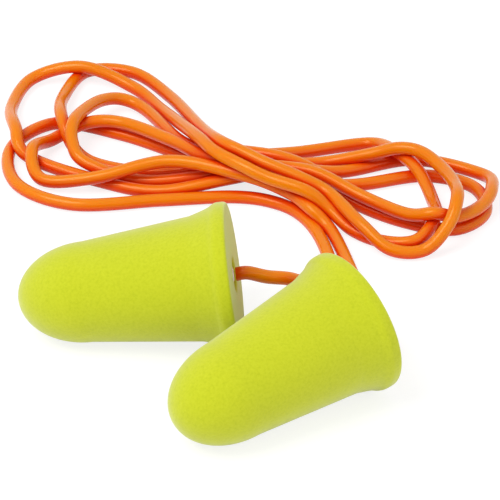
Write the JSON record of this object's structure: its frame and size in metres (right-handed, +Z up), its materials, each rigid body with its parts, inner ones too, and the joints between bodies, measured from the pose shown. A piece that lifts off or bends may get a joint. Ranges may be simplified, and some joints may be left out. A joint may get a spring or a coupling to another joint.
{
  "type": "corded foam ear plugs",
  "caption": "Pair of tapered soft foam ear plugs with flared lips, joined by a thin flexible cord gathered in a loose bundle.",
  "frame": {"origin": "on the surface that the plugs lie on, under the middle of the box around the two plugs", "axes": "+Z up; +X along the left plug, from its nose to its flat end face; +Y towards the bundle of cord"},
  "size_m": [0.0607, 0.0806, 0.0164],
  "materials": {
    "foam": "soft slow-recovery foam with a fine porous skin, matte, yellow-green",
    "cord": "smooth, slightly translucent soft vinyl, orange",
    "adhesive": "clear set adhesive, hidden in the foam"
  },
  "bodies": {
    "cord_run": {"cord": "cord"},
    "left_plug": {"left_foam_plug": "foam", "left_cord_end": "cord", "left_bond_sleeve": "adhesive"},
    "right_plug": {"right_foam_plug": "foam", "right_cord_end": "cord", "right_bond_sleeve": "adhesive"}
  },
  "joints": [
    {"name": "left_plug_swing", "type": "hinge", "parent": "cord_run", "child": "left_plug", "pos_m": [0.0031, 0.0082, 0.00819], "axis": [0, 0, 1], "range_deg": [-20, 5]},
    {"name": "right_plug_swing", "type": "hinge", "parent": "cord_run", "child": "right_plug", "pos_m": [0.0169, -0.0004, 0.00819], "axis": [0, 0, 1], "range_deg": [-3, 20]}
  ]
}
